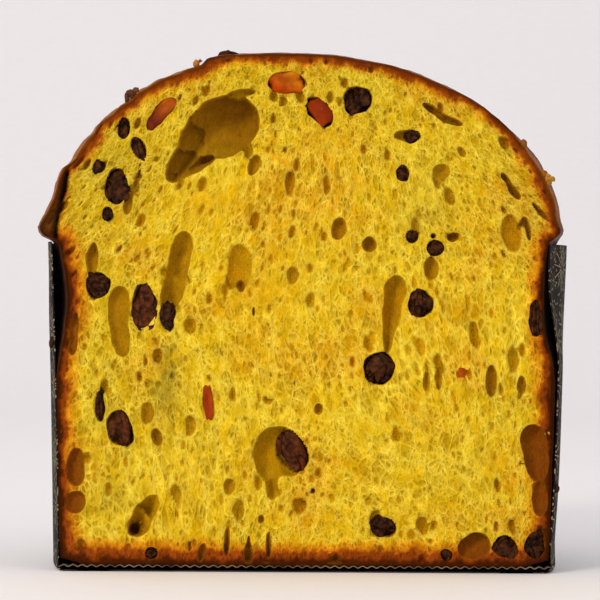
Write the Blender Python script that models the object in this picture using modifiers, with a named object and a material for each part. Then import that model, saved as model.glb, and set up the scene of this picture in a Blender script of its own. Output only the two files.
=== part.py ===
"""Panettone cut a little in front of its middle, standing in its paper baking mould.

Metres, +Z up. The origin is the middle of the whole mould's underside, and the cut face looks along -Y.
The loaf is one baked piece. The mould is a side band with a turned-in foot, glued between a flat base
disc and a fluted inner disc, and it was cut through together with the loaf. The raisins and the pieces
of candied peel that the cut shows each sit in a socket of their own.
"""

import math

import bmesh
import bpy
from mathutils import Matrix, Vector, noise

# The cut and the clearances
CUT_Y = -0.022  # the knife's plane
GAP = 0.0003  # between pieces that touch
SOCKET_GAP = 0.0004  # between a fruit and its socket
PROUD = 0.0011  # how far a fruit stands out of the cut face

# The paper mould
PAPER = 0.00035
RIM_R = 0.085
FOOT_R = 0.0824
RIM_Z = 0.106
FOOT_CORNER_R = 0.002
FOOT_FLANGE = 0.016  # width of the band's turned-in foot
BASE_R = 0.0802
FLUTE_PITCH = 0.003
FLUTE_HEIGHT = 0.0010
FLUTED_R = 0.0793
SPRUNG = 0.001  # how far the band stands off near its cut end
CURL = 0.0038  # how far that end curls in from there at the rim
CUT_END = -15.0  # degrees round from +X to the cut end on the right

# The loaf
DOME_R = 0.0834
DOME_Z = 0.112
DOME_RISE = 0.0557
DOME_LEAN = (-0.085, -0.180)  # shift along x and y for each metre above DOME_Z
LIP_R = 0.0846
FLAP = 0.0042  # how far the crust's loose flap hangs over the rim
END_DENT = 0.0018  # how far the side has drawn in where the band's end curls

TURNS = 64  # flats round every turned piece, the same so that their faces run parallel

BASE_Z = PAPER
FOOT_Z = BASE_Z + GAP
FLUTED_Z = FOOT_Z + PAPER + GAP
LOAF_Z = FLUTED_Z + FLUTE_HEIGHT + GAP

# Each row: name, x, z, half width and half height on the cut face, tilt in degrees towards +X
RAISINS = (
    ("raisin_peak", 0.0161, 0.1520, 0.0045, 0.0046, 0),
    ("raisin_dome_left", -0.0611, 0.1237, 0.0038, 0.0055, 0),
    ("raisin_dome_left_edge", -0.0669, 0.1300, 0.0020, 0.0022, 0),
    ("raisin_upper_left", -0.0588, 0.1427, 0.0025, 0.0037, 0),
    ("raisin_upper_left_small", -0.0541, 0.1362, 0.0018, 0.0041, -25),
    ("raisin_shoulder_left", -0.0640, 0.1150, 0.0019, 0.0022, 0),
    ("raisin_side_left", -0.0672, 0.0921, 0.0038, 0.0038, 0),
    ("raisin_middle_left", -0.0521, 0.0854, 0.0039, 0.0070, 0),
    ("raisin_middle_left_small", -0.0444, 0.0819, 0.0023, 0.0045, 0),
    ("raisin_middle_right", 0.0367, 0.0867, 0.0042, 0.0042, 0),
    ("raisin_upper_right", 0.0415, 0.1044, 0.0026, 0.0026, 0),
    ("raisin_upper_right_small", 0.0341, 0.1082, 0.0016, 0.0018, 0),
    ("raisin_dome_right", 0.0306, 0.1288, 0.0022, 0.0026, 0),
    ("raisin_dome_right_high", 0.0335, 0.1404, 0.0027, 0.0019, 0),
    ("raisin_centre_right", 0.0238, 0.0654, 0.0046, 0.0055, 40),
    ("raisin_edge_right", 0.0738, 0.0825, 0.0022, 0.0060, 0),
    ("raisin_centre_low", -0.0042, 0.0390, 0.0037, 0.0064, -30),
    ("raisin_low_left", -0.0595, 0.0458, 0.0032, 0.0055, 0),
    ("raisin_low_left_thin", -0.0659, 0.0535, 0.0016, 0.0052, 0),
    ("raisin_foot_centre", 0.0251, 0.0146, 0.0042, 0.0035, 0),
    ("raisin_foot_right", 0.0646, 0.0082, 0.0041, 0.0035, 0),
    ("raisin_corner_right", 0.0742, 0.0091, 0.0031, 0.0045, 0),
    ("raisin_base_right", 0.0457, 0.0056, 0.0019, 0.0019, 0),
    ("raisin_base_left", -0.0492, 0.0058, 0.0021, 0.0021, 0),
)
PEEL = (
    ("peel_peak_long", -0.0068, 0.1574, 0.0064, 0.0034, -8),
    ("peel_peak_square", 0.0045, 0.1482, 0.0046, 0.0050, 0),
    ("peel_upper_left", -0.0468, 0.1473, 0.0024, 0.0062, 43),
    ("peel_low_left", -0.0312, 0.0545, 0.0018, 0.0060, 0),
    ("peel_low_right", 0.0505, 0.0645, 0.0016, 0.0016, 10),
)
CROWN_RAISIN = ("raisin_crown", (-0.0251, -0.0165, 0.1662), (0.0040, 0.0031, 0.0022))

# Each row: x, z, half width, half height, tilt in degrees towards +X, depth behind the cut face
AIR_HOLES = (
    (-0.0270, 0.1424, 0.0078, 0.0132, 52, 0.0110),
    (-0.0399, 0.1311, 0.0038, 0.0072, 32, 0.0060),
    (-0.0415, 0.0957, 0.0038, 0.0145, 17, 0.0050),
    (0.0283, 0.0844, 0.0028, 0.0119, 0, 0.0040),
    (-0.0527, 0.0185, 0.0038, 0.0071, 18, 0.0055),
    (-0.0125, 0.0378, 0.0044, 0.0090, 0, 0.0045),
    (-0.0444, 0.0587, 0.0045, 0.0135, 0, 0.0035),
    (-0.0598, 0.0800, 0.0030, 0.0110, 0, 0.0030),
    (-0.0209, 0.0950, 0.0026, 0.0061, 0, 0.0035),
    (0.0740, 0.0394, 0.0034, 0.0088, 0, 0.0040),
    (0.0431, 0.1476, 0.0018, 0.0068, -62, 0.0040),
    (0.0553, 0.0092, 0.0043, 0.0040, 0, 0.0040),
    (-0.0737, 0.0336, 0.0032, 0.0070, 0, 0.0030),
    (0.0598, 0.0619, 0.0019, 0.0055, 0, 0.0030),
    (0.0666, 0.1095, 0.0034, 0.0054, 0, 0.0040),
)

CRUMB_COLOUR = (0.76, 0.44, 0.02)
PAPER_COLOUR = (0.013, 0.009, 0.007)
FLUTED_COLOUR = (0.45, 0.36, 0.27)
RAISIN_COLOUR = (0.020, 0.007, 0.005)
PEEL_COLOUR = (0.50, 0.085, 0.006)


def clear_scene():
    for obj in list(bpy.data.objects):
        bpy.data.objects.remove(obj, do_unlink=True)


def new_collection(name, parent, wire=False):
    collection = bpy.data.collections.new(name)
    collection.hide_render = wire
    parent.children.link(collection)
    return collection


def new_material(name, colour, roughness):
    material = bpy.data.materials.new(name)
    material.use_nodes = True
    shader = material.node_tree.nodes["Principled BSDF"]
    shader.inputs["Base Color"].default_value = (*colour, 1.0)
    shader.inputs["Roughness"].default_value = roughness
    shader.inputs["Metallic"].default_value = 0.0
    return material


def place(name, mesh, collection, material=None):
    obj = bpy.data.objects.new(name, mesh)
    collection.objects.link(obj)
    if material:
        mesh.materials.append(material)
        mesh.shade_smooth()
        mesh.set_sharp_from_angle(angle=math.radians(40))
    else:
        obj.hide_render = True
        obj.display_type = "WIRE"
    return obj


def mesh_from(bm, name):
    mesh = bpy.data.meshes.new(name)
    bm.to_mesh(mesh)
    bm.free()
    return mesh


def applied(obj):
    """The object's mesh as its modifiers make it. The object itself is removed."""
    graph = bpy.context.evaluated_depsgraph_get()
    mesh = bpy.data.meshes.new_from_object(obj.evaluated_get(graph))
    mesh.name = obj.name
    bpy.data.objects.remove(obj, do_unlink=True)
    return mesh


def turned(name, profile):
    """The mesh of a profile of (radius, height) points turned round the Z axis."""
    bm = bmesh.new()
    points = [bm.verts.new((radius, 0.0, height)) for radius, height in profile]
    for upper, lower in zip(points, points[1:]):
        bm.edges.new((upper, lower))
    obj = place(name, mesh_from(bm, name), cutters)
    screw = obj.modifiers.new("Turn", "SCREW")
    screw.axis = "Z"
    screw.angle = math.tau
    screw.steps = TURNS
    screw.render_steps = TURNS
    screw.use_merge_vertices = True
    screw.merge_threshold = 0.00001
    return applied(obj)


def boolean(obj, operation, other):
    modifier = obj.modifiers.new(operation.title(), "BOOLEAN")
    modifier.operation = operation
    modifier.solver = "EXACT"
    if isinstance(other, bpy.types.Collection):
        modifier.operand_type = "COLLECTION"
        modifier.collection = other
    else:
        modifier.object = other


def box(name, low, high, collection):
    bm = bmesh.new()
    size = Vector(high) - Vector(low)
    middle = (Vector(low) + Vector(high)) / 2
    bmesh.ops.create_cube(bm, size=1.0, matrix=Matrix.Translation(middle) @ Matrix.Diagonal((*size, 1.0)))
    return place(name, mesh_from(bm, name), collection)


def ramp(low, high, value):
    """0 below low, 1 above high, and smooth between."""
    share = min(max((value - low) / (high - low), 0.0), 1.0)
    return share * share * (3.0 - 2.0 * share)


def bell(value, middle, width):
    return math.exp(-(((value - middle) / width) ** 2))


def degrees_round(co):
    """The point's place round the Z axis, -180 to 180 degrees, with 0 at +X."""
    return math.degrees(math.atan2(co.y, co.x))


def push_out(co, distance):
    """Moves the point away from the Z axis."""
    outwards = Vector((co.x, co.y, 0.0)).normalized()
    co += outwards * distance


def band_radius(height):
    """Outer radius of the mould's side band, which widens towards the rim."""
    return FOOT_R + (RIM_R - FOOT_R) * height / RIM_Z


# The mould's side band, with its rounded foot turned in under the loaf


def make_side_band(material):
    levels = (1.0, 0.86, 0.72, 0.58, 0.44, 0.30, 0.14)
    profile = [(band_radius(share * RIM_Z), share * RIM_Z) for share in levels]
    centre = (band_radius(0.0) - FOOT_CORNER_R, FOOT_Z + FOOT_CORNER_R)
    for turn in (0.0, -30.0, -60.0, -90.0):
        angle = math.radians(turn)
        profile.append(
            (centre[0] + FOOT_CORNER_R * math.cos(angle), centre[1] + FOOT_CORNER_R * math.sin(angle))
        )
    profile.append((centre[0] - FOOT_FLANGE, FOOT_Z))
    mesh = turned("mould_side_band", profile)
    # The band stands off a little on the right, and its cut end there curls in at the rim.
    for vertex in mesh.vertices:
        co = vertex.co
        around = degrees_round(co)
        push_out(co, SPRUNG * bell(around, 5.0, 24.0) * ramp(FOOT_Z, 0.030, co.z))
        curled = ramp(1.0, CUT_END, around) * ramp(-60.0, -45.0, around)
        push_out(co, -CURL * curled * ramp(0.064, 0.096, co.z))
    band = place("mould_side_band", mesh, parts, material)
    wall = band.modifiers.new("Paper", "SOLIDIFY")
    wall.thickness = PAPER
    wall.offset = -1.0
    wall.use_even_offset = True
    boolean(band, "DIFFERENCE", knife)


def disc_mesh(name, radius, low, high):
    bm = bmesh.new()
    bmesh.ops.create_cone(
        bm,
        cap_ends=True,
        segments=TURNS,
        radius1=radius,
        radius2=radius,
        depth=high - low,
        matrix=Matrix.Translation((0.0, 0.0, (low + high) / 2)),
    )
    return mesh_from(bm, name)


def make_base_disc(material):
    disc = place("mould_base_disc", disc_mesh("mould_base_disc", BASE_R, 0.0, BASE_Z), parts, material)
    boolean(disc, "DIFFERENCE", knife)


def make_fluted_disc(material):
    """A sheet waved across X and straight along Y, trimmed round and cut with the loaf."""
    quarter = FLUTE_PITCH / 4
    count = math.ceil(FLUTED_R / quarter) + 2
    swing = (FLUTE_HEIGHT - PAPER) / 2
    middle = FLUTED_Z + FLUTE_HEIGHT / 2
    bm = bmesh.new()
    points = []
    for step in range(-count, count + 1):
        height = middle + swing * math.sin(step * math.pi / 2)
        points.append(bm.verts.new((step * quarter, -RIM_R, height)))
    edges = [bm.edges.new(pair) for pair in zip(points, points[1:])]
    sheet = bmesh.ops.extrude_edge_only(bm, edges=edges)
    moved = [item for item in sheet["geom"] if isinstance(item, bmesh.types.BMVert)]
    bmesh.ops.translate(bm, verts=moved, vec=(0.0, 2 * RIM_R, 0.0))
    bmesh.ops.recalc_face_normals(bm, faces=bm.faces)
    disc = place("mould_fluted_disc", mesh_from(bm, "mould_fluted_disc"), parts, material)
    wall = disc.modifiers.new("Paper", "SOLIDIFY")
    wall.thickness = PAPER
    wall.offset = 0.0
    trim = place("fluted_disc_trim", disc_mesh("trim", FLUTED_R, 0.0, LOAF_Z + GAP), cutters)
    boolean(disc, "INTERSECT", trim)
    boolean(disc, "DIFFERENCE", knife)


# The loaf, with its sockets and larger air holes


def loaf_profile():
    dome = []
    for turn in (90, 84, 77, 70, 62, 54, 46, 38, 30, 22, 15, 9, 3):
        angle = math.radians(turn)
        dome.append((DOME_R * math.cos(angle), DOME_Z + DOME_RISE * math.sin(angle)))
    lip = [(LIP_R, RIM_Z + 0.0042), (LIP_R - 0.0012, RIM_Z + 0.0018), (0.0824, RIM_Z - 0.001)]
    shrunk = [(0.0815, 0.097), (0.0810, 0.087), (0.0814, 0.076)]
    filled = []
    for height in (0.062, 0.040, 0.018):
        filled.append((band_radius(height) - PAPER - GAP, height))
    foot = [(0.0811, 0.0078), (0.0796, LOAF_Z + 0.0014), (0.0765, LOAF_Z), (0.0, LOAF_Z)]
    return dome + lip + shrunk + filled + foot


def shape_loaf(mesh):
    """The dome leans left and forward. Its crust hangs over the rim on the left, and both sides draw in."""
    for vertex in mesh.vertices:
        co = vertex.co
        from_flap = abs(degrees_round(co) + 166.0)
        from_flap = min(from_flap, 360.0 - from_flap)
        beside = bell(from_flap, 0.0, 20.0)
        push_out(co, FLAP * beside * bell(co.z, 0.1115, 0.006) * ramp(RIM_Z, RIM_Z + 0.001, co.z))
        push_out(co, -0.0012 * beside * bell(co.z, 0.088, 0.012))
        beside = bell(degrees_round(co), CUT_END, 13.0)
        push_out(co, -END_DENT * beside * ramp(0.066, 0.082, co.z) * ramp(0.1095, 0.1064, co.z))
        above = max(co.z - DOME_Z, 0.0)
        co.x += DOME_LEAN[0] * above
        co.y += DOME_LEAN[1] * above


def ellipsoid_mesh(name, radii, rough=0.0, fine=True):
    """A closed ball stretched to three radii. Roughness only takes away, so it stays inside them."""
    bm = bmesh.new()
    bmesh.ops.create_icosphere(bm, subdivisions=3 if fine else 2, radius=1.0)
    seed = Vector((sum(map(ord, name)) % 97, 0.0, 0.0))
    for vertex in bm.verts:
        wrinkle = 0.5 + 0.5 * noise.noise(vertex.co * 2.6 + seed)
        vertex.co *= 1.0 - rough * wrinkle
        vertex.co = Vector((vertex.co.x * radii[0], vertex.co.y * radii[1], vertex.co.z * radii[2]))
    return mesh_from(bm, name)


def fruit_radii(half_width, half_height):
    """Depth radius, centre's depth behind the cut, and how much wider the fruit is than its section."""
    depth = 0.75 * min(half_width, half_height) + 0.0012
    behind = depth - PROUD
    return depth, behind, 1.0 / math.sqrt(1.0 - (behind / depth) ** 2)


def make_raisin(name, x, z, half_width, half_height, tilt, material):
    depth, behind, wider = fruit_radii(half_width, half_height)
    wider = min(wider, 1.25)
    radii = (half_width * wider, depth, half_height * wider)
    fine = half_height > 0.005
    raisin = place(name, ellipsoid_mesh(name, radii, 0.10, fine), parts, material)
    socket_radii = [radius + SOCKET_GAP for radius in radii]
    socket = place(name + "_socket", ellipsoid_mesh(name, socket_radii, 0.0, fine), sockets)
    for obj in (raisin, socket):
        obj.location = (x, CUT_Y + behind, z)
        obj.rotation_euler = (0.0, math.radians(tilt), 0.0)


def make_crown_raisin(name, centre, radii, material):
    raisin = place(name, ellipsoid_mesh(name, radii, 0.10), parts, material)
    socket_radii = [radius + SOCKET_GAP for radius in radii]
    socket = place(name + "_socket", ellipsoid_mesh(name, socket_radii), sockets)
    for obj in (raisin, socket):
        obj.location = centre


def make_peel(name, x, z, half_width, half_height, tilt, material):
    """A diced piece: a block with rounded edges, in a socket with square ones."""
    half_depth = min(half_width, half_height)
    for grown, title, collection, finish in (
        (0.0, name, parts, material),
        (SOCKET_GAP, name + "_socket", sockets, None),
    ):
        bm = bmesh.new()
        size = [2 * (half + grown) for half in (half_width, half_depth, half_height)]
        bmesh.ops.create_cube(bm, size=1.0, matrix=Matrix.Diagonal((*size, 1.0)))
        piece = place(title, mesh_from(bm, title), collection, finish)
        piece.location = (x, CUT_Y + half_depth - PROUD, z)
        piece.rotation_euler = (0.0, math.radians(tilt), 0.0)
        if finish:
            rounding = piece.modifiers.new("Rounded", "BEVEL")
            rounding.width = 0.35 * half_depth
            rounding.segments = 2


def make_air_hole(number, x, z, half_width, half_height, tilt, depth):
    radii = (half_width, depth, half_height)
    name = f"air_hole_{number:02d}"
    hole = place(name, ellipsoid_mesh(name, radii, 0.0, half_height > 0.010), sockets)
    hole.location = (x, CUT_Y, z)
    hole.rotation_euler = (0.0, math.radians(tilt), 0.0)


def make_loaf(material):
    mesh = turned("loaf", loaf_profile())
    shape_loaf(mesh)
    loaf = place("loaf", mesh, parts, material)
    boolean(loaf, "DIFFERENCE", knife)
    boolean(loaf, "DIFFERENCE", sockets)


clear_scene()
parts = new_collection("panettone", bpy.context.scene.collection)
cutters = new_collection("cutters", bpy.context.scene.collection, wire=True)
sockets = new_collection("sockets_and_air_holes", cutters, wire=True)
knife = box("knife", (-0.15, -0.15, -0.02), (0.15, CUT_Y, 0.22), cutters)

paper = new_material("dark_baking_paper", PAPER_COLOUR, 0.55)
fluted_paper = new_material("fluted_baking_paper", FLUTED_COLOUR, 0.80)
bread = new_material("baked_bread", CRUMB_COLOUR, 0.60)
raisin_skin = new_material("raisin_skin", RAISIN_COLOUR, 0.35)
candied_peel = new_material("candied_peel", PEEL_COLOUR, 0.30)

make_base_disc(paper)
make_side_band(paper)
make_fluted_disc(fluted_paper)
for row in RAISINS:
    make_raisin(*row, raisin_skin)
make_crown_raisin(*CROWN_RAISIN, raisin_skin)
for row in PEEL:
    make_peel(*row, candied_peel)
for number, row in enumerate(AIR_HOLES, 1):
    make_air_hole(number, *row)
make_loaf(bread)
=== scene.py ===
import itertools
import math

import bpy
import numpy as np
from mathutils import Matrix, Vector, kdtree


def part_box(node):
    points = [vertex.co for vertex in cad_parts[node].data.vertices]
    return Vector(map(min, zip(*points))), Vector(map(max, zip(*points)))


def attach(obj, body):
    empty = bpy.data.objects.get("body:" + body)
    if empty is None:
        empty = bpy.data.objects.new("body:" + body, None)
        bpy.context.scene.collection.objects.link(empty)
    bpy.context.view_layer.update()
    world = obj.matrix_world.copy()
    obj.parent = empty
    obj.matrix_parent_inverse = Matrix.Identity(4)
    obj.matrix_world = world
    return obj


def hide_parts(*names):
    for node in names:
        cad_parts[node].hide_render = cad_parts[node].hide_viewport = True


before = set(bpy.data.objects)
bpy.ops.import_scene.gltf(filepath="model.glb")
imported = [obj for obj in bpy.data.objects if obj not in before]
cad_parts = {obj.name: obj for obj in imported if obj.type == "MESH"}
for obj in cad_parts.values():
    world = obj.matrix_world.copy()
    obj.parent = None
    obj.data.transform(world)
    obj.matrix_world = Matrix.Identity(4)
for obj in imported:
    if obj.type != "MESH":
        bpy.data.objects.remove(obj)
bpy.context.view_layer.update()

# ---------------------------------------------------------------------------------------------
# The camera stands level and square to the cut face, 0.9 m off, with a long lens. It is turned a
# third of a degree and looks 2 mm to the left of the mould's middle.

CAMERA_AWAY = 0.900
CAMERA_ASIDE = -0.0019
CAMERA_HEIGHT = 0.0876
CAMERA_ROLL = -0.32  # degrees
LENS, SENSOR = 163.8, 36.0  # millimetres

bpy.ops.object.camera_add(
    location=(CAMERA_ASIDE, -CAMERA_AWAY, CAMERA_HEIGHT),
    rotation=(math.radians(90), math.radians(CAMERA_ROLL), 0.0),
)
camera = bpy.context.object
camera.name = "camera"
camera.data.sensor_width = SENSOR
camera.data.lens = LENS
camera.data.clip_end = 20.0
bpy.context.scene.camera = camera
bpy.context.scene.view_settings.view_transform = "Standard"

# ---------------------------------------------------------------------------------------------
# The studio: one sheet of warm white paper swept up behind the loaf, a soft lamp in front on
# the left, a weaker one on the right, one overhead, one on the sheet, and pale light from all round.


def linear(colour):
    """Scene-linear red, green and blue of an sRGB hex colour such as "#e5b800"."""
    shares = [int(colour[i : i + 2], 16) / 255 for i in (1, 3, 5)]
    return [s / 12.92 if s <= 0.04045 else ((s + 0.055) / 1.055) ** 2.4 for s in shares]


def start_material(name):
    """A new material and its Principled shader."""
    material = bpy.data.materials.new(name)
    material.use_nodes = True
    return material, material.node_tree.nodes["Principled BSDF"]


def link(value, socket):
    """Sets a socket to a number or a colour, or joins another node's output to it."""
    if isinstance(value, bpy.types.NodeSocket):
        socket.id_data.links.new(value, socket)
    elif isinstance(value, list):
        socket.default_value = (*value, 1.0)
    else:
        socket.default_value = value


def add(shader, kind, sockets=None, out=0, **settings):
    """Adds a node to the shader's material, with its settings and what its sockets take. Gives an output."""
    made = shader.id_data.nodes.new("ShaderNode" + kind)
    for name, value in settings.items():
        setattr(made, name, value)
    for name, value in (sockets or {}).items():
        link(value, made.inputs[name])
    return made.outputs[out]


def dress(shader, looks):
    """Gives the shader's own sockets their numbers and colours, and joins the nodes that vary the rest."""
    for name, value in looks.items():
        link(value, shader.inputs[name])


def deselect():
    bpy.ops.object.select_all(action="DESELECT")


SHEET_BACK = 1.9  # y of its upright part
SHEET_WIDE, SHEET_DEEP, SHEET_TALL, SHEET_BEND = 8.0, 4.0, 4.0, 0.7

deselect()
bpy.ops.mesh.primitive_plane_add(size=1.0)
sheet = bpy.context.object
sheet.name = "paper_sheet"
bpy.ops.object.mode_set(mode="EDIT")
bpy.ops.transform.resize(value=(SHEET_WIDE, SHEET_DEEP, 1.0))
bpy.ops.transform.translate(value=(0.0, SHEET_BACK - SHEET_DEEP / 2, 0.0))
bpy.ops.object.mode_set(mode="OBJECT")
for part in (*sheet.data.polygons, *sheet.data.edges, *sheet.data.vertices):
    part.select = False
for edge in sheet.data.edges:
    edge.select = all(sheet.data.vertices[v].co.y > SHEET_BACK - 0.01 for v in edge.vertices)
bpy.ops.object.mode_set(mode="EDIT")
bpy.ops.mesh.select_mode(type="EDGE")
bpy.ops.mesh.extrude_region_move(TRANSFORM_OT_translate={"value": (0.0, 0.0, SHEET_TALL)})
bpy.ops.object.mode_set(mode="OBJECT")
bend = sheet.modifiers.new("Bend", "BEVEL")
bend.width = SHEET_BEND
bend.segments = 16
bpy.ops.object.modifier_apply(modifier="Bend")
bpy.ops.object.shade_smooth()

# Coated background paper is matt, with a faint grain.
sheet_white, shader = start_material("matt_background_paper")
grain = add(shader, "TexNoise", {"Scale": 900.0, "Detail": 3.0})
tone = add(shader, "MixRGB", {"Fac": grain, "Color1": linear("#f1f1f3"), "Color2": linear("#f5f5f7")})
dress(shader, {"Base Color": tone, "Roughness": 0.85, "Specular IOR Level": 0.2})
sheet.data.materials.append(sheet_white)


def soft_lamp(name, place, aim, size, watts, colour):
    """A square soft box at a place, turned to face its aim."""
    bpy.ops.object.light_add(type="AREA", location=place)
    lamp = bpy.context.object
    lamp.name = name
    lamp.rotation_euler = (Vector(aim) - Vector(place)).to_track_quat("-Z", "Y").to_euler()
    lamp.data.size = size
    lamp.data.energy = watts
    lamp.data.color = linear(colour)


soft_lamp("key_left", (-0.95, -1.25, 0.85), (0.0, 0.0, 0.08), 0.50, 12.4, "#fff6ea")
soft_lamp("fill_right", (1.1, -1.0, 0.45), (0.0, 0.0, 0.07), 0.90, 1.6, "#f6f6ff")
soft_lamp("overhead", (0.0, 0.35, 1.3), (0.0, 0.0, 0.1), 0.90, 0.3, "#ffffff")
soft_lamp("on_sheet", (-0.5, 0.5, 1.8), (-0.3, SHEET_BACK, 0.3), 1.50, 3.5, "#fff4f4")
world = bpy.data.worlds.new("studio")
world.use_nodes = True
dress(world.node_tree.nodes["Background"], {"Color": linear("#f5efef"), "Strength": 0.80})
bpy.context.scene.world = world

# ---------------------------------------------------------------------------------------------
# The loaf's crust: sweet yeast dough, scored with a cross before baking, glazed, and risen out of
# its mould. The crust is the dough's own dried and browned skin. It is turned to a profile first,
# then scored, wrinkled, and cut off at the knife's plane.

loaf_low, loaf_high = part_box("loaf")
CUT_Y = loaf_low.y
RIM_Z = 0.106  # the mould's rim
FOOT_RADIUS, RIM_RADIUS = 0.0824, 0.085  # the mould outside, at its foot and rim
LOAF_BOTTOM = 0.0019  # the crust has sagged into the fluted disc
DOME_R, DOME_Z, DOME_RISE = 0.0834, 0.112, 0.0557
DOME_LEAN = (-0.085, -0.180)  # how far the dome leans along x and y for each metre up
LIP_R = 0.0846  # the crust where it spilled over the rim
FLAP = 0.0042  # how far the torn flap on the left stands out over the rim
FLAP_TURN = -166.0  # degrees round from +X to the flap
END_DENT = 0.0018  # the loaf shrank from the paper beside the cut on the right
CUT_END = -15.0  # degrees round from +X to the band's end on the right
SCORE_CENTRE = (-0.010, 0.008)
# Each arm of the cross: its direction in degrees, and half the width that it opened to in the oven
SCORE_ARMS = ((203.0, 0.0180), (150.0, 0.0060), (40.0, 0.0105), (-17.0, 0.0060))


def lattice(cells, seed):
    """A steady random number, 0 to 1, for each whole-numbered cell."""
    key = cells[:, 0] * 73856093 ^ cells[:, 1] * 19349663 ^ cells[:, 2] * 83492791
    key = key ^ (seed * 40503 + 977)
    key = (key ^ (key >> 13)) * 1274126177
    return ((key ^ (key >> 16)) & 0xFFFFFF) / 0xFFFFFF


def lumps(points, size, seed):
    """Smooth noise, -1 to 1, with lumps of one size in metres, or of three along x, y and z."""
    scaled = points / size
    base = np.floor(scaled).astype(np.int64)
    part = scaled - base
    part = part * part * (3.0 - 2.0 * part)
    total = np.zeros(len(points))
    for corner in itertools.product((0, 1), repeat=3):
        share = np.prod(np.where(corner, part, 1.0 - part), axis=1)
        total += share * lattice(base + np.array(corner), seed)
    return 2.0 * total - 1.0


def ramp(low, high, value):
    """0 at low, 1 at high, smooth between. low may be above high."""
    share = np.clip((value - low) / (high - low), 0.0, 1.0)
    return share * share * (3.0 - 2.0 * share)


def bell(value, middle, width):
    return np.exp(-(((value - middle) / width) ** 2))


def mixed(first, second, share):
    """Mixes two colours, each one colour or one for each point, by a share for each point."""
    share = np.clip(np.asarray(share, float), 0.0, 1.0)[:, None]
    return np.asarray(first) * (1.0 - share) + np.asarray(second) * share


def points_of(piece):
    flat = np.empty(len(piece.data.vertices) * 3)
    piece.data.vertices.foreach_get("co", flat)
    return flat.reshape(-1, 3)


def move_points(piece, points):
    piece.data.vertices.foreach_set("co", np.ascontiguousarray(points).ravel())
    piece.data.update()


def note(piece, name, values):
    """Stores a number, a colour or, as "way", a place for each point, for the piece's material to read."""
    values = np.asarray(values, float)
    kind, field = "FLOAT", "value"
    if values.ndim == 2 and name == "way":
        kind, field = "FLOAT_VECTOR", "vector"
    elif values.ndim == 2:
        kind, field = "FLOAT_COLOR", "color"
        values = np.concatenate((values, np.ones((len(values), 1))), axis=1)
    piece.data.attributes.new(name, kind, "POINT").data.foreach_set(field, values.ravel())


def band_radius(height):
    """Outer radius of the mould's side band at a height."""
    return FOOT_RADIUS + (RIM_RADIUS - FOOT_RADIUS) * height / RIM_Z


def length_along(line):
    """How far along an open line each of its points is."""
    return np.concatenate(([0.0], np.cumsum(np.hypot(*np.diff(line, axis=0).T))))


def places_on(line, length, at):
    """The places on a line, whose points are at those lengths, at other lengths."""
    return np.stack([np.interp(at, length, line[:, i]) for i in (0, 1)], axis=1)


def crust_profile(count):
    """Radius and height at count places, from the crown down the outside to the middle underneath."""
    turns = np.radians(np.arange(90, 2, -3))
    dome = np.stack((DOME_R * np.cos(turns), DOME_Z + DOME_RISE * np.sin(turns)), axis=1)
    side = [(LIP_R, RIM_Z + 0.0042), (LIP_R - 0.0012, RIM_Z + 0.0016), (0.0824, RIM_Z - 0.001)]
    side += [(0.0815, 0.097), (0.0810, 0.087), (0.0814, 0.076)]
    side += [(band_radius(z) - 0.0008, z) for z in (0.062, 0.050, 0.040, 0.028, 0.018, 0.011)]
    side += [(0.0815, 0.0070), (0.0812, 0.0042), (0.0805, 0.0027), (0.0790, LOAF_BOTTOM + 0.0001)]
    side += [(0.060, LOAF_BOTTOM), (0.0, LOAF_BOTTOM)]
    line = np.concatenate((dome, np.array(side)))
    length = length_along(line)
    # The flat underside is the last quarter of the line, and gets only the last few rings.
    outside, underside = 0.206, 0.0775
    outside_share = 1.0 - underside / (underside + outside)
    share = np.interp(np.linspace(0.0, 1.0, count), (0.0, 0.94, 1.0), (0.0, outside_share, 1.0))
    return places_on(line, length / length[-1], share)


RINGS = 150
deselect()
bpy.ops.mesh.primitive_uv_sphere_add(segments=280, ring_count=RINGS, radius=1.0)
loaf = bpy.context.object
loaf.name = "loaf_crumb_and_crust"
ball = points_of(loaf)
ring = np.arccos(np.clip(ball[:, 2], -1.0, 1.0)) / math.pi * RINGS
profile = crust_profile(RINGS + 1)
radius = np.interp(ring, np.arange(RINGS + 1), profile[:, 0])
height = np.interp(ring, np.arange(RINGS + 1), profile[:, 1])
turn = np.arctan2(ball[:, 1], ball[:, 0])
degrees = np.degrees(turn)

from_flap = np.abs((degrees - FLAP_TURN + 180.0) % 360.0 - 180.0)
beside_flap = bell(from_flap, 0.0, 20.0)
sideways = FLAP * beside_flap * bell(height, 0.1105, 0.0065) * ramp(RIM_Z, RIM_Z + 0.0012, height)
sideways -= 0.0012 * beside_flap * bell(height, 0.088, 0.012)
above_flap = ramp(0.1295, 0.1325, height) * ramp(0.162, 0.150, height)
sideways -= 0.0024 * bell(from_flap, 0.0, 32.0) * above_flap
beside_end = bell(degrees, CUT_END, 13.0)
sideways -= END_DENT * beside_end * ramp(0.066, 0.082, height) * ramp(0.1095, 0.1064, height)
in_mould = ramp(0.1075, 0.1050, height)
sideways -= 0.0002 * in_mould * ramp(0.006, 0.02, height) * np.abs(lumps(ball, (0.08, 0.08, 0.10), 44))
swelled = radius + sideways
crust = np.stack((swelled * np.cos(turn), swelled * np.sin(turn), height), axis=1)
above = np.maximum(height - DOME_Z, 0.0)
crust[:, 0] += DOME_LEAN[0] * above
crust[:, 1] += DOME_LEAN[1] * above

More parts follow.
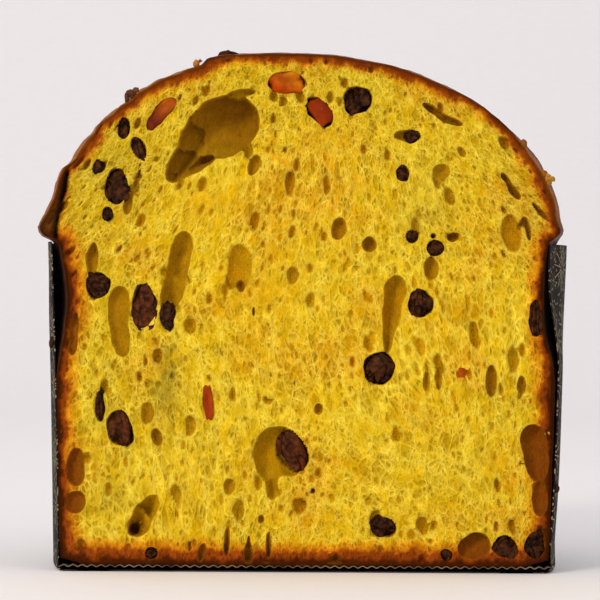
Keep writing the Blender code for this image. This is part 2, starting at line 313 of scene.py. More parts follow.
# Between the arms of the cross the skin dried before the crumb had risen, so its edges curl up there.
out_x, out_y = crust[:, 0] - SCORE_CENTRE[0], crust[:, 1] - SCORE_CENTRE[1]
ragged = 0.0010 * lumps(crust, 0.008, 31) + 0.0004 * lumps(crust, 0.003, 32)
from_arm = np.full(len(crust), 1.0)
for direction, half_width in SCORE_ARMS:
    aim = math.radians(direction)
    along = out_x * math.cos(aim) + out_y * math.sin(aim)
    aside = np.abs(out_y * math.cos(aim) - out_x * math.sin(aim)) + ragged
    width = half_width * ramp(-0.010, 0.030, along) * ramp(0.106, 0.120, height)
    outside = np.where(along > -0.010, aside - width, 1.0)
    from_arm = np.minimum(from_arm, outside)
scored = ramp(0.0003, -0.0005, from_arm) * ramp(0.106, 0.112, height)
lift = 0.0005 + 0.0011 * ramp(0.03, -0.03, crust[:, 0]) * ramp(0.0, -0.018, crust[:, 1])
lift = lift * ramp(-0.0003, 0.0007, from_arm) * np.exp(-np.maximum(from_arm, 0.0) / 0.0085)
relief = lift * ramp(0.112, 0.125, height)
relief += 0.0005 * lumps(crust, 0.026, 41) + 0.0003 * lumps(crust, 0.009, 42)
relief += (0.00020 + 0.0003 * scored) * lumps(crust, 0.0030, 43) + 0.00012 * lumps(crust, 0.0016, 45)
relief -= 0.0003 * scored
level = radius / DOME_R
outwards = np.stack((np.cos(turn) * level, np.sin(turn) * level, above / DOME_RISE * 1.2), axis=1)
outwards /= np.maximum(np.linalg.norm(outwards, axis=1), 1e-9)[:, None]
crust += outwards * (relief * (1.0 - in_mould))[:, None]
crust[:, 0] = np.clip(crust[:, 0], loaf_low.x, loaf_high.x)
move_points(loaf, crust)

CRUST_BURNT, CRUST_DARK, CRUST_MID = linear("#341508"), linear("#5c2a10"), linear("#86461a")
SCORE_PALE, SIDE_PALE, SIDE_DARK = linear("#a86a30"), linear("#6a3410"), linear("#3a1a0a")
mottle = 0.5 + 0.5 * lumps(crust, 0.012, 51)
speckle = 0.5 + 0.5 * lumps(crust, 0.003, 52)
colour = mixed(CRUST_DARK, CRUST_MID, 0.2 + 0.5 * mottle + 0.2 * speckle)
colour = mixed(colour, SCORE_PALE, scored * (0.35 + 0.45 * speckle))
colour = mixed(colour, CRUST_BURNT, 0.8 * bell(from_arm, 0.0012, 0.0015) * ramp(0.112, 0.125, height))
colour = mixed(colour, CRUST_BURNT, 0.6 * bell(height, 0.110, 0.005))
colour = mixed(colour, mixed(SIDE_DARK, SIDE_PALE, mottle * speckle), in_mould)
# The crumb's material reads all of these on the rounded edge where crust and cut face meet.
for name in ("colour", "hollow", "wall"):
    note(loaf, name, colour)
note(loaf, "rim", np.full(len(crust), 0.002))
note(loaf, "shine", (1.0 - 0.75 * scored) * (1.0 - in_mould))

deselect()
loaf.select_set(True)
bpy.ops.object.mode_set(mode="EDIT")
bpy.ops.mesh.select_all(action="SELECT")
bpy.ops.mesh.bisect(plane_co=(0.0, CUT_Y, 0.0), plane_no=(0.0, 1.0, 0.0), clear_inner=True)
bpy.ops.object.mode_set(mode="OBJECT")

# Glazed crust is smooth and satin where the egg and butter dried on it, with fine blisters, and matt
# and open where the score tore. It is darkest on the dome.
glazed_crust, shader = start_material("baked_bread_crust_with_egg_glaze")
where = add(shader, "TexCoord", out="Object")
painted = add(shader, "Attribute", attribute_name="colour")
shine = add(shader, "Attribute", out="Fac", attribute_name="shine")
mottle = add(shader, "TexNoise", {"Vector": where, "Scale": 260.0, "Detail": 5.0, "Roughness": 0.62})
blister = add(shader, "TexVoronoi", {"Vector": where, "Scale": 640.0, "Randomness": 1.0}, feature="SMOOTH_F1")
shade = {"Value": mottle, "From Min": 0.3, "From Max": 0.7, "To Min": 0.62, "To Max": 1.35}
shade = add(shader, "MapRange", shade)
tinted = add(shader, "VectorMath", {0: painted, "Scale": shade}, operation="SCALE")
rough = add(shader, "MapRange", {"Value": shine, "To Min": 0.80, "To Max": 0.42})
rough = add(shader, "Math", {0: mottle, 1: 0.15, 2: rough}, operation="MULTIPLY_ADD")
skin = add(shader, "Math", {0: blister, 1: 0.7, 2: mottle}, operation="MULTIPLY_ADD")
bump = add(shader, "Bump", {"Height": skin, "Strength": 0.7, "Distance": 0.0007})
dress(shader, {"Base Color": tinted, "Roughness": rough, "Normal": bump})
dress(shader, {"IOR": 1.45, "Specular IOR Level": 0.35})
loaf.data.materials.append(glazed_crust)

# ---------------------------------------------------------------------------------------------
# The cut face: crumb yellow with egg yolk. The knife opened the foam's cells, so the face is a net
# of thin pale walls round pits of every size. It is a fine grid laid inside the crust's outline,
# each point set back by how deep the pit is there and drawn onto the nearest rim.

# Each air hole: its depth, how far in from its rim it reaches that depth, how dark its wall is painted as
# painted shade, how much deeper and more shaded it is to the left and at the top, and then the bubbles that
# ran together in it, each with its x, z, half width, half height and lean to the right in degrees
AIR_HOLES = (
    (0.0105, 0.0060, 0.90, 0.3, 0.3,
     (-0.0268, 0.1432, 0.0098, 0.0120, 62), (-0.0350, 0.1395, 0.0058, 0.0084, 35),
     (-0.0205, 0.1470, 0.0042, 0.0050, -30), (-0.0392, 0.1325, 0.0044, 0.0080, 36),
     (-0.0420, 0.1285, 0.0026, 0.0040, 50), (-0.0345, 0.1314, 0.0027, 0.0060, 58)),
    (0.0030, 0.0010, 0.75, 0.0, 0.0, (-0.0209, 0.1540, 0.0013, 0.0048, 84)),
    (0.0052, 0.0030, 0.66, 0.25, -0.1,
     (-0.0400, 0.1040, 0.0036, 0.0055, 8), (-0.0410, 0.0985, 0.0037, 0.0065, 8),
     (-0.0428, 0.0915, 0.0036, 0.0075, 12)),
    (0.0044, 0.0028, 0.60, 0.4, 0.1,
     (0.0288, 0.0905, 0.0037, 0.0052, 8), (0.0276, 0.0840, 0.0030, 0.0070, 4),
     (0.0266, 0.0770, 0.0018, 0.0062, 2)),
    (0.0060, 0.0036, 0.56, 0.45, -0.65,
     (-0.0500, 0.0205, 0.0033, 0.0048, 24), (-0.0530, 0.0160, 0.0036, 0.0052, 24)),
    (0.0095, 0.0022, 1.00, 0.2, -0.4, (-0.0546, 0.0137, 0.0021, 0.0027, 30)),
    (0.0050, 0.0040, 0.56, 0.2, 0.1,
     (-0.0110, 0.0378, 0.0054, 0.0088, 0), (-0.0062, 0.0390, 0.0058, 0.0086, -20),
     (-0.0105, 0.0270, 0.0020, 0.0036, 0)),
    (0.0028, 0.0024, 0.70, 0.15, 0.1,
     (-0.0600, 0.0850, 0.0036, 0.0070, 4), (-0.0596, 0.0760, 0.0030, 0.0075, -8)),
    (0.0030, 0.0018, 0.72, 0.2, 0.2, (-0.0688, 0.1000, 0.0020, 0.0058, 6)),
    (0.0022, 0.0030, 0.50, 0.3, 0.1, (-0.0212, 0.0985, 0.0042, 0.0075, 0)),
    (0.0034, 0.0012, 0.95, 0.1, 0.1, (-0.0209, 0.0918, 0.0013, 0.0019, 0)),
    (0.0026, 0.0014, 0.85, 0.1, 0.1, (-0.0168, 0.0838, 0.0007, 0.0017, 0)),
    (0.0042, 0.0026, 0.98, 0.2, 0.1,
     (0.0735, 0.0430, 0.0044, 0.0052, 0), (0.0742, 0.0365, 0.0038, 0.0070, -14)),
    (0.0026, 0.0020, 0.90, 0.2, 0.1, (0.0757, 0.0240, 0.0026, 0.0058, 0)),
    (0.0042, 0.0016, 0.85, 0.2, 0.1,
     (0.0410, 0.1487, 0.0013, 0.0046, -58), (0.0462, 0.1455, 0.0013, 0.0042, -72)),
    (0.0042, 0.0024, 1.00, 0.3, 0.2,
     (0.0553, 0.0092, 0.0044, 0.0042, 20), (0.0520, 0.0078, 0.0026, 0.0026, 0)),
    (0.0028, 0.0020, 0.92, 0.4, 0.1, (-0.0738, 0.0336, 0.0030, 0.0062, 0)),
    (0.0026, 0.0020, 0.86, 0.1, 0.1, (-0.0738, 0.0222, 0.0036, 0.0036, 0)),
    (0.0022, 0.0016, 0.90, 0.2, 0.1, (-0.0745, 0.0764, 0.0017, 0.0070, 4)),
    (0.0030, 0.0015, 0.85, 0.1, 0.1, (0.0598, 0.0619, 0.0019, 0.0055, 0)),
    (0.0024, 0.0012, 0.72, 0.1, 0.1, (0.0695, 0.0606, 0.0015, 0.0032, 0)),
    (0.0022, 0.0022, 0.50, 0.1, 0.1, (0.0660, 0.1095, 0.0032, 0.0062, -10)),
    (0.0036, 0.0016, 0.85, 0.1, 0.1, (0.0204, 0.1056, 0.0025, 0.0028, 0)),
    (0.0032, 0.0018, 0.72, 0.1, 0.1, (0.0104, 0.1105, 0.0027, 0.0038, 10)),
    (0.0034, 0.0018, 0.74, 0.2, 0.1, (0.0402, 0.0982, 0.0027, 0.0040, 0)),
    (0.0040, 0.0016, 0.92, 0.3, 0.2, (0.0418, 0.1042, 0.0025, 0.0025, 0)),
    (0.0038, 0.0012, 1.00, 0.1, 0.1, (0.0470, 0.1082, 0.0021, 0.0017, 0)),
    (0.0040, 0.0010, 1.10, 0.0, 0.0, (0.0409, 0.1085, 0.0010, 0.0010, 0)),
    (0.0032, 0.0010, 1.10, 0.0, 0.0, (0.0338, 0.1084, 0.0014, 0.0011, 20)),
    (0.0030, 0.0018, 0.80, 0.0, 0.2, (0.0322, 0.1404, 0.0046, 0.0019, 0)),
    (0.0028, 0.0020, 0.62, 0.1, 0.1, (0.0434, 0.1288, 0.0027, 0.0030, 40)),
    (0.0036, 0.0010, 0.95, 0.2, 0.1,
     (0.0640, 0.1270, 0.0012, 0.0022, -40), (0.0668, 0.1228, 0.0015, 0.0032, -38)),
    (0.0028, 0.0010, 0.95, 0.2, 0.1,
     (0.0692, 0.1128, 0.0009, 0.0024, 30), (0.0714, 0.1105, 0.0009, 0.0036, -8)),
    (0.0026, 0.0008, 0.95, 0.2, 0.1, (0.0752, 0.1165, 0.0009, 0.0040, -42)),
    (0.0022, 0.0012, 0.70, 0.1, 0.1, (0.0389, 0.0619, 0.0013, 0.0032, 0)),
    (0.0022, 0.0012, 0.70, 0.1, 0.1, (0.0428, 0.0625, 0.0013, 0.0040, 0)),
    (0.0028, 0.0016, 0.70, 0.1, 0.1, (-0.0170, 0.1308, 0.0018, 0.0036, 20)),
    (0.0026, 0.0014, 0.80, 0.1, 0.1, (-0.0476, 0.0432, 0.0019, 0.0030, -14)),
    (0.0022, 0.0018, 0.60, 0.1, 0.1, (-0.0244, 0.0275, 0.0020, 0.0030, 0)),
    (0.0026, 0.0012, 0.72, 0.1, 0.1, (0.0042, 0.0523, 0.0015, 0.0020, 0)),
    (0.0034, 0.0008, 1.00, 0.1, 0.1, (0.0026, 0.0262, 0.0008, 0.0011, 0)),
    (0.0026, 0.0012, 0.70, 0.1, 0.1, (-0.0140, 0.0170, 0.0012, 0.0016, 0)),
    (0.0022, 0.0010, 1.00, 0.1, -0.3, (-0.0331, 0.0062, 0.0015, 0.0034, 14)),
    (0.0022, 0.0008, 1.00, 0.1, -0.3, (-0.0250, 0.0098, 0.0011, 0.0050, 3)),
    (0.0026, 0.0010, 1.10, 0.1, -0.3,
     (-0.0180, 0.0052, 0.0016, 0.0034, 0), (-0.0180, 0.0088, 0.0008, 0.0034, 2)),
    (0.0022, 0.0008, 1.00, 0.1, -0.3, (-0.0116, 0.0088, 0.0010, 0.0046, 0)),
    (0.0020, 0.0008, 0.90, 0.1, 0.1, (-0.0370, 0.0083, 0.0008, 0.0020, 4)),
    (0.0026, 0.0007, 1.10, 0.1, 0.1, (-0.0538, 0.1290, 0.0006, 0.0030, 12)),
    (0.0020, 0.0012, 0.75, 0.1, 0.1,
     (-0.0556, 0.1230, 0.0012, 0.0042, 24), (-0.0575, 0.1175, 0.0016, 0.0030, 10)),
)
SKIN = 0.0008  # the grid stops this far inside the outline, and a rounded edge joins the two
ACROSS = UP = 262
FACE_MIDDLE = (0.0, 0.100)

crust = points_of(loaf)
on_cut = crust[np.abs(crust[:, 1] - CUT_Y) < 1e-6][:, [0, 2]]
around = np.arctan2(on_cut[:, 1] - FACE_MIDDLE[1], on_cut[:, 0] - FACE_MIDDLE[0])
on_cut = on_cut[np.argsort(around)]


def even_steps(line, count):
    """Points at even steps along an open line."""
    length = length_along(line)
    return places_on(line, length, np.linspace(0.0, length[-1], count))


outline = even_steps(np.concatenate((on_cut, on_cut[:1])), 1400)[:-1]
ahead = np.roll(outline, -4, axis=0) - np.roll(outline, 4, axis=0)
inwards = np.stack((-ahead[:, 1], ahead[:, 0]), axis=1) / np.hypot(*ahead.T)[:, None]
inner_line = outline + SKIN * inwards


def stretch(first, last, count):
    """Even steps along the inner line from near one place to near another, going round anticlockwise."""
    start, end = [int(np.argmin(np.hypot(*(inner_line - spot).T))) for spot in (first, last)]
    if end < start:
        end += len(inner_line)
    return even_steps(inner_line[np.arange(start, end + 1) % len(inner_line)], count)


FOOT_LEFT, FOOT_RIGHT = (-0.080, 0.0), (0.080, 0.0)
TOP_LEFT, TOP_RIGHT = (-0.072, 0.141), (0.068, 0.141)
bottom = stretch(FOOT_LEFT, FOOT_RIGHT, ACROSS + 1)
right = stretch(FOOT_RIGHT, TOP_RIGHT, UP + 1)
top = stretch(TOP_RIGHT, TOP_LEFT, ACROSS + 1)[::-1]
left = stretch(TOP_LEFT, FOOT_LEFT, UP + 1)[::-1]

deselect()
bpy.ops.mesh.primitive_grid_add(x_subdivisions=ACROSS, y_subdivisions=UP, size=1.0)
face = bpy.context.object
grid = points_of(face)
column = np.rint((grid[:, 0] + 0.5) * ACROSS).astype(int)
row = np.rint((grid[:, 1] + 0.5) * UP).astype(int)
u, v = (column / ACROSS)[:, None], (row / UP)[:, None]
flat = (1 - v) * bottom[column] + v * top[column] + (1 - u) * left[row] + u * right[row]
flat -= (1 - u) * (1 - v) * bottom[0] + u * (1 - v) * bottom[-1]
flat -= (1 - u) * v * top[0] + u * v * top[-1]
x, z = flat[:, 0], flat[:, 1]
on_border = (column == 0) | (column == ACROSS) | (row == 0) | (row == UP)

fruit_names = [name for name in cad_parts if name.startswith(("raisin", "peel"))]
fruit_names.remove("raisin_crown")
fruit_boxes = [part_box(name) for name in fruit_names]
# The fruits that lie aslant: their lean to the right in degrees, their width as a share of their length
ASLANT = {
    "raisin_centre_right": (40, 0.8), "raisin_upper_left_small": (-25, 0.6), "raisin_centre_low": (-30, 0.7),
    "raisin_low_left": (-20, 0.7), "raisin_side_left": (-20, 0.9), "raisin_upper_right_small": (10, 0.8),
    "peel_peak_long": (-8, 1.0), "peel_upper_left": (43, 0.38), "peel_low_right": (10, 1.0),
    "peel_peak_square": (-38, 0.62), "peel_low_left": (-8, 0.30),
}


def in_plane(x, z):
    """The places of points in the knife's plane, for lumps to take."""
    return np.stack((x, np.zeros_like(x), z), axis=1)


def flow(x, z):
    """Where each point lies along and across the foam. The rise drew the cells upwards, they lie flatter
    under the dome's crust, and they follow the dome round."""
    spot = in_plane(x, z)
    under_dome = ramp(0.085, 0.150, z)
    across = x * (1.0 + 0.25 * under_dome) + 0.0060 * lumps(spot, 0.045, 62)
    up = z + 5.5 * x * x * under_dome
    up = 0.56 * up + 0.55 * 0.5 * np.maximum(up - 0.135, 0.0) + 0.0040 * lumps(spot, 0.050, 64)
    return across, up


def cells(x, z, seed):
    """The foam cell that each point is in, x and z being in cells: how far it is from the cell's middle, and
    two random numbers of the cell's own."""
    base_x, base_z = np.floor(x).astype(np.int64), np.floor(z).astype(np.int64)
    near = np.full(len(x), 9.0)
    own = np.zeros((len(x), 3), np.int64)
    for step_x, step_z in itertools.product((-1, 0, 1), repeat=2):
        cell = np.stack((base_x + step_x, np.zeros_like(base_x), base_z + step_z), axis=1)
        away_x = x - cell[:, 0] - 0.1 - 0.8 * lattice(cell, seed)
        away_z = z - cell[:, 2] - 0.1 - 0.8 * lattice(cell, seed + 1)
        away = np.hypot(away_x, away_z)
        closer = away < near
        near = np.where(closer, away, near)
        own[closer] = cell[closer]
    return near, lattice(own, seed + 2), lattice(own, seed + 3)


def from_ellipse(x, z, centre_x, centre_z, half_width, half_height, lean):
    """About how far each point is outside an ellipse, negative inside, and its place in it, -1 to 1."""
    aim = math.radians(lean)
    dx, dz = x - centre_x, z - centre_z
    wide = (dx * math.cos(aim) - dz * math.sin(aim)) / half_width
    tall = (dx * math.sin(aim) + dz * math.cos(aim)) / half_height
    away = np.hypot(wide, tall)
    slope = np.hypot(wide / half_width, tall / half_height) / np.maximum(away, 1e-6)
    return (away - 1.0) / np.maximum(slope, 1e-6), wide, tall


def bowl(rim, reach):
    """0 at a hole's rim and 1 where its floor is reached, with a steep wall."""
    share = np.clip(-rim / reach, 0.0, 1.0)
    return np.sqrt(1.0 - (1.0 - share) ** 2)


SMALL_CELL, WIDE_CELL = 0.0026, 0.0056  # across, of the cells that are cut into the mesh
MELT = 0.0018  # bubbles this near each other run together


def openings(x, z):
    """For each point of the face: how deep it is, how far it is from the nearest rim (negative inside), how
    dark the painted shade on its wall is there, and how much of that is from the large holes and the fruit's
    hollows."""
    spot = in_plane(x, z)
    across, up = flow(x, z)
    across = across + 0.0006 * lumps(spot, 0.0040, 61)
    up = up + 0.0005 * lumps(spot, 0.0040, 63)
    wavering = 0.00045 * lumps(spot, 0.0042, 71) + 0.0002 * lumps(spot, 0.0018, 72)
    openness = 0.5 + 0.5 * lumps(spot, 0.024, 65)
    near, one, two = cells(across / SMALL_CELL, up / SMALL_CELL, 111)
    rim = (near - 0.20 - 0.22 * two) * SMALL_CELL
    rim = np.where(one < 0.10 + 0.16 * openness, rim, 0.002) + 0.2 * wavering
    depth = 0.0013 * bowl(rim, 0.0009)
    # Each pit's wall gets painted shade of a random strength.
    pit_shade = 0.10 + 0.20 * two * one / 0.3
    near, one, two = cells(across / WIDE_CELL, up / WIDE_CELL, 121)
    rim_here = (near - 0.17 - 0.20 * two) * WIDE_CELL
    rim_here = np.where(one < 0.07 + 0.22 * openness, rim_here, 0.004) + wavering
    pit_shade = np.where(rim_here < 0.0, 0.12 + 0.45 * two * two, pit_shade)
    depth = np.maximum(depth, 0.0028 * bowl(rim_here, 0.0018))
    rim = 0.45 * np.minimum(rim, rim_here)
    large = np.zeros(len(x))
    for hole_depth, reach, shade_in_hole, left_deeper, top_deeper, *bubbles in AIR_HOLES:
        rim_here = np.full(len(x), 0.02)
        wide = tall = 0.0
        for bubble in bubbles:
            away, bubble_wide, bubble_tall = from_ellipse(x, z, *bubble)
            nearest = away < rim_here
            wide = np.where(nearest, bubble_wide, wide)
            tall = np.where(nearest, bubble_tall, tall)
            blend = np.clip(0.5 + 0.5 * (rim_here - away) / MELT, 0.0, 1.0)
            rim_here = rim_here * (1.0 - blend) + away * blend - MELT * blend * (1.0 - blend)
        narrowest = min(bubble[2] for bubble in bubbles)
        fuzzy = shade_in_hole < 0.55
        rim_here = rim_here + wavering * min(1.0, narrowest / 0.003)
        sloped = 1.0 - left_deeper * np.clip(wide, -1, 1) + top_deeper * np.clip(tall, -1, 1)
        inside = ramp(0.0002, -0.0002, rim_here)
        depth = np.maximum(depth * (1.0 - inside), hole_depth * sloped * bowl(rim_here, reach))
        # Inside a hole the wall gets painted shade, stronger to the left and at the top.
        pit_shade = pit_shade * (1.0 - inside) + shade_in_hole * (0.65 + 0.35 * sloped) * inside
        large = np.maximum(large, inside * min(1.0, narrowest / 0.0024) * (0.3 if fuzzy else 1.0))
        if fuzzy:
            rim_here = 0.3 * rim_here
        rim = np.minimum(rim, rim_here)
    for name, (low, high) in zip(fruit_names, fruit_boxes):
        middle, half = (low + high) / 2, (high - low) / 2
        lean, slim = ASLANT.get(name, (0, 1.0))
        wide, tall = 0.86 * half.x + 0.0001, 0.86 * half.z + 0.0001
        if slim < 0.75:
            tall = 0.92 * math.hypot(wide, tall)
            wide = slim * tall
        rim_here, _, _ = from_ellipse(x, z, middle.x, middle.z, wide, tall, lean if slim < 0.75 else 0)
        rim_here = rim_here + 1.3 * wavering
        inside = ramp(0.0002, -0.0002, rim_here)
        depth = np.maximum(depth * (1.0 - inside), (high.y - CUT_Y) * bowl(rim_here, 0.0012))
        # The hollow round a fruit gets painted shade.
        pit_shade = pit_shade * (1.0 - inside) + 0.75 * inside
        large = np.maximum(large, inside)
        rim = np.minimum(rim, rim_here)
    return depth, rim, pit_shade, large


# Points near a rim are drawn onto it, so that it is crisp.
STEP = 0.00005
MOST_PULL = 0.00028
for _ in range(2):
    rim = openings(x, z)[1]
    slope_x = (openings(x + STEP, z)[1] - rim) / STEP
    slope_z = (openings(x, z + STEP)[1] - rim) / STEP
    steepness = np.maximum(np.hypot(slope_x, slope_z), 0.3)
    held = ramp(0.00036, 0.00024, np.abs(rim)) * ramp(0.55, 0.85, steepness) * ~on_border
    pull = np.clip(rim / steepness**2 * held, -MOST_PULL, MOST_PULL)
    x = x - pull * slope_x
    z = z - pull * slope_z

spot = in_plane(x, z)
nearest = kdtree.KDTree(len(outline))
for index, point in enumerate(outline):
    nearest.insert((point[0], 0.0, point[1]), index)
nearest.balance()
from_crust = np.array([nearest.find(place)[2] for place in spot])

depth, rim, pit_shade, large = openings(x, z)
at_edge = ramp(0.0, 0.0014, from_crust - SKIN)
waves = 0.0005 * lumps(spot, 0.019, 81) + 0.0003 * lumps(spot, 0.007, 82)
depth = (depth + waves - 0.0003) * at_edge + 0.0003 * (1.0 - at_edge)
groove_x = -0.0772 - 0.0034 * ramp(0.1285, 0.109, z)
groove = bell(x, groove_x, 0.0009) * ramp(0.1045, 0.1065, z) * ramp(0.1305, 0.1275, z)
depth += 0.0030 * groove * ramp(0.0, 0.0008, from_crust - SKIN)
move_points(face, np.stack((x, CUT_Y + depth, z), axis=1))

# The crumb's yellow runs to orange and brown where the heat came through: in a thin band under the
# dome's crust, a wider one at the sides, and a streaky one at the foot.
YELLOW, GOLD, PALE = linear("#e4bd0c"), linear("#dda602"), linear("#e9cd34")
HOLE_SHADE = linear("#8a5c0a")
ORANGE, BROWN, BURNT = linear("#c07010"), linear("#8c4010"), linear("#4c200a")
patch = 0.5 + 0.5 * lumps(spot, 0.017, 91) + 0.25 * lumps(spot, 0.006, 92)
crumb = mixed(YELLOW, GOLD, ramp(0.45, 0.95, patch))
crumb = mixed(crumb, PALE, 0.6 * ramp(0.45, 0.05, patch))
# Where the walls between cells stretched to a film, the face is smooth and its yellow is deeper.
film = np.zeros(len(spot))
for film_x, film_z, film_wide, film_tall in (
    (-0.013, 0.096, 0.016, 0.017), (-0.031, 0.118, 0.010, 0.008),
    (0.061, 0.035, 0.005, 0.007), (0.004, 0.140, 0.008, 0.004),
):
    film = np.maximum(film, bell(x, film_x, film_wide) * bell(z, film_z, film_tall))
film = film * (0.55 + 0.45 * lumps(spot, 0.006, 96))
crumb = mixed(crumb, linear("#dcab00"), 0.9 * film)
greyed = 0.5 * ramp(0.060, 0.078, np.abs(x + 0.004)) * ramp(0.085, 0.125, z)
crumb = mixed(crumb, linear("#c09a18"), greyed)
crumb *= (1.0 - 0.12 * ramp(-0.038, -0.070, x) - 0.08 * ramp(0.135, 0.155, z))[:, None]
# Fruit juice and butter have dulled the crumb in places.
dull = np.zeros(len(x))
for dull_x, dull_z, dull_wide, dull_tall, dulled in (
    (-0.0446, 0.0590, 0.0050, 0.0140, 0.95), (0.0400, 0.1150, 0.0110, 0.0090, 0.35),
    (-0.0600, 0.0520, 0.0080, 0.0120, 0.30), (-0.0590, 0.1280, 0.0110, 0.0120, 0.30),
    (-0.0640, 0.0250, 0.0080, 0.0100, 0.25),
):
    spotted = bell(x, dull_x, dull_wide) * bell(z, dull_z, dull_tall) * (0.75 + 0.35 * lumps(spot, 0.003, 98))
    dull = np.maximum(dull, dulled * spotted)
crumb = mixed(crumb, linear("#84742c"), dull)

under_dome = ramp(0.104, 0.120, z)
at_foot = ramp(0.016, 0.006, z) * ramp(0.0, 0.010, 0.078 - np.abs(x))
streaks = 0.0010 * lumps(spot, 0.0045, 93) + 0.0007 * lumps(spot, (0.0014, 1.0, 0.0030), 94)
streaks += 0.0006 * lumps(spot, 0.0009, 97)
depth_in = from_crust + streaks
at_left = ramp(-0.055, -0.075, x) * (1.0 - under_dome)
at_right = ramp(0.060, 0.076, x) * ramp(0.080, 0.055, z)
crust_thick = 0.0022 + 0.0002 * under_dome + 0.0030 * at_foot + 0.0010 * at_left + 0.0020 * at_right
toasted = 0.0054 - 0.0024 * under_dome + 0.0040 * at_foot + 0.0012 * at_left
toasted = np.maximum(toasted + 0.0028 * lumps(spot, 0.016, 95) * (1.0 - under_dome), 0.0015)
baked = ramp(1.0, 0.0, (depth_in - crust_thick) / toasted)
crumb = mixed(crumb, ORANGE, 0.92 * baked**1.1)
crumb = mixed(crumb, BROWN, ramp(crust_thick + 0.0008, crust_thick - 0.0006, depth_in))
crumb = mixed(crumb, BURNT, ramp(0.70, 0.30, depth_in / crust_thick) * (1.0 - 0.45 * under_dome))
on_flap = ramp(groove_x + 0.0004, groove_x - 0.0006, x) * ramp(0.1045, 0.1065, z) * ramp(0.132, 0.124, z)
crumb = mixed(crumb, linear("#3c2216"), 0.85 * on_flap)
# The groove beside the flap is painted near black, as painted shade inside it.
crumb = mixed(crumb, linear("#140703"), groove)
# Pits, holes and the hollows round the fruit are painted darker, browner and more saturated than the crumb,
# as painted shade, near black where it is strongest.
deep_hole_shade = mixed(HOLE_SHADE, crumb * 0.45, 0.4 * ramp(0.006, 0.0, from_crust))
hollow = mixed(crumb * np.array((0.80, 0.72, 0.40)), deep_hole_shade, pit_shade)
hollow = mixed(hollow, linear("#3a1c06"), np.maximum(pit_shade - 0.95, 0.0) * 3.0)
hollow = mixed(hollow, linear("#803f0a"), 0.8 * large * ramp(0.014, 0.004, from_crust) * ramp(0.10, 0.07, z))
across, up = flow(x, z)
note(face, "colour", crumb)
note(face, "hollow", hollow)
# The cut walls' colour: paler than the crumb, partly the thin walls' own paleness and partly painted
# highlight, and near the crust the crumb's colour brightened as painted highlight.
pale_wall_and_highlight = mixed(crumb, linear("#f6de4e"), 0.68 - 0.50 * dull)
note(face, "wall", mixed(pale_wall_and_highlight, crumb * 1.5, np.maximum(baked, on_flap)))
note(face, "rim", rim)
note(face, "foam", (1.0 - 0.85 * large) * (1.0 - 0.75 * film) * ramp(0.0010, 0.0032, from_crust))
FINE_CELL = 0.00115
note(face, "way", np.stack((across / FINE_CELL, depth / 0.003, up / FINE_CELL), axis=1))

# Egg-rich crumb is matt. Its finest cells, 0.6 to 2.9 mm, are drawn here: pale where a wall is cut
# through, partly the thin wall's own paleness and partly painted highlight, deeper yellow on the floor behind
# it, and painted shade where a cell runs deep.
crumb_foam, shader = start_material("egg_yolk_bread_crumb_cut_with_a_knife")
painted = add(shader, "Attribute", attribute_name="colour")
hollow = add(shader, "Attribute", attribute_name="hollow")
rim = add(shader, "Attribute", out="Fac", attribute_name="rim")
foam = add(shader, "Attribute", out="Fac", attribute_name="foam")
wall_colour_and_highlight = add(shader, "Attribute", attribute_name="wall")
way = add(shader, "Attribute", out="Vector", attribute_name="way")
drift = add(shader, "TexNoise", {"Vector": way, "Scale": 0.55, "Detail": 3.0}, out="Color")
drift = add(shader, "VectorMath", {0: drift, 1: (0.5, 0.5, 0.5)}, operation="SUBTRACT")
way = add(shader, "VectorMath", {0: way, 1: drift}, operation="ADD")
fibre = add(shader, "TexNoise", {"Vector": way, "Scale": 1.5, "Detail": 5.0, "Roughness": 0.65})

# Three foams, one inside another. Of each: how many of its cells lie across a fine one, how wide its walls
# and its floors' edges are in cells, how pale its walls are, which is partly painted highlight, from which
# random number a cell gets painted shade, how dark the darkest painted shade is, and how deep it is pitted,
# or None where each cell's random number says that
FOAMS = (
    (2.0, 0.28, 0.40, 0.12, 0.50, 0.35, 0.25),
    (0.9, 0.26, 0.42, 0.75, 0.45, 0.85, None),
    (0.40, 0.12, 0.20, 1.00, 0.15, 0.62, None),
)
walls = cell_shade = pitted = 0.0
for scale, wall_width, floor_width, paleness, shade_from, darkest_shade, pit in FOAMS:
    edge = add(shader, "TexVoronoi", {"Vector": way, "Scale": scale}, feature="DISTANCE_TO_EDGE")
    own = add(shader, "TexVoronoi", {"Vector": way, "Scale": scale}, out="Color")
    own = add(shader, "SeparateColor", {"Color": own})
    wall = {"Value": edge, "From Min": wall_width, "From Max": 0.0}
    wall = add(shader, "MapRange", wall, interpolation_type="SMOOTHSTEP")
    wall = add(shader, "Math", {0: wall, 1: paleness}, operation="MULTIPLY")
    walls = add(shader, "Math", {0: walls, 1: wall}, operation="MAXIMUM")
    floor = {"Value": edge, "From Min": 0.0, "From Max": floor_width}
    floor = add(shader, "MapRange", floor, interpolation_type="SMOOTHSTEP")
    deep = add(shader, "MapRange", {"Value": own, "From Min": shade_from, "From Max": 1.0, "To Max": darkest_shade})
    deep = add(shader, "Math", {0: deep, 1: floor}, operation="MULTIPLY")
    cell_shade = add(shader, "Math", {0: cell_shade, 1: deep}, operation="MAXIMUM")
    pitted = add(shader, "Math", {0: floor, 1: pit or own, 2: pitted}, operation="MULTIPLY_ADD")
    if scale == FOAMS[0][0]:
        tiny_floor = floor

